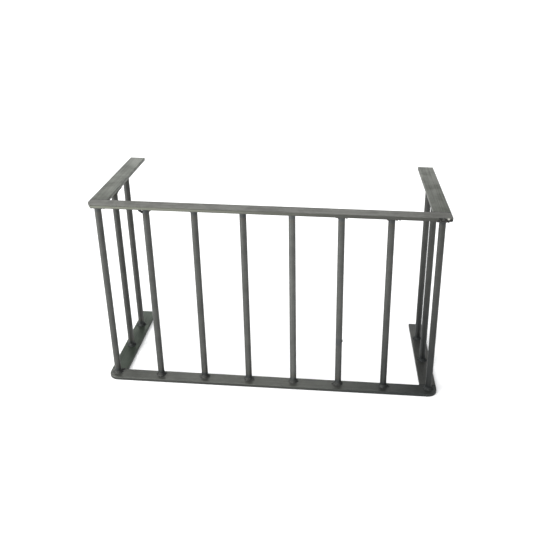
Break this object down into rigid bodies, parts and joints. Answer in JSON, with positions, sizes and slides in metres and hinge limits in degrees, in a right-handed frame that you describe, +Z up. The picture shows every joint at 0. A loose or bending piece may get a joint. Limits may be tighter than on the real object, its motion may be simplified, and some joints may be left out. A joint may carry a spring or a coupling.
{
  "type": "hay rack feeder",
  "caption": "Wall-side hay rack: two level U-shaped flat-bar frames joined by upright round bars, open at the back, top and bottom.",
  "frame": {"origin": "middle of the footprint, on the surface under the bottom frame", "axes": "+X along the front rail, to the right as seen from the front; +Y towards the wall; +Z up"},
  "size_m": [0.528, 0.249, 0.294],
  "materials": {
    "flat_bar_steel": "dull mill-finish flat bar with fine lengthwise rolling streaks",
    "round_bar_steel": "dark mill-finish round bar, half matt",
    "weld_metal": "dark lumpy hand weld"
  },
  "bodies": {
    "root": {"bottom_front_rail": "flat_bar_steel", "bottom_left_arm": "flat_bar_steel", "bottom_right_arm": "flat_bar_steel", "top_front_rail": "flat_bar_steel", "top_left_arm": "flat_bar_steel", "top_right_arm": "flat_bar_steel", "corner_post_left": "round_bar_steel", "corner_post_right": "round_bar_steel", "front_bar_1": "round_bar_steel", "front_bar_2": "round_bar_steel", "front_bar_3": "round_bar_steel", "front_bar_4": "round_bar_steel", "front_bar_5": "round_bar_steel", "front_bar_6": "round_bar_steel", "left_side_bar_front": "round_bar_steel", "left_side_bar_rear": "round_bar_steel", "right_side_bar_front": "round_bar_steel", "right_side_bar_rear": "round_bar_steel", "corner_weld_bottom_left": "weld_metal", "corner_weld_bottom_right": "weld_metal", "corner_weld_top_left": "weld_metal", "corner_weld_top_right": "weld_metal", "corner_post_left_weld_bottom": "weld_metal", "corner_post_left_weld_top": "weld_metal", "corner_post_right_weld_bottom": "weld_metal", "corner_post_right_weld_top": "weld_metal", "front_bar_1_weld_bottom": "weld_metal", "front_bar_1_weld_top": "weld_metal", "front_bar_2_weld_bottom": "weld_metal", "front_bar_2_weld_top": "weld_metal", "front_bar_3_weld_bottom": "weld_metal", "front_bar_3_weld_top": "weld_metal", "front_bar_4_weld_bottom": "weld_metal", "front_bar_4_weld_top": "weld_metal", "front_bar_5_weld_bottom": "weld_metal", "front_bar_5_weld_top": "weld_metal", "front_bar_6_weld_bottom": "weld_metal", "front_bar_6_weld_top": "weld_metal", "left_side_bar_front_weld_bottom": "weld_metal", "left_side_bar_front_weld_top": "weld_metal", "left_side_bar_rear_weld_bottom": "weld_metal", "left_side_bar_rear_weld_top": "weld_metal", "right_side_bar_front_weld_bottom": "weld_metal", "right_side_bar_front_weld_top": "weld_metal", "right_side_bar_rear_weld_bottom": "weld_metal", "right_side_bar_rear_weld_top": "weld_metal"}
  },
  "joints": []
}
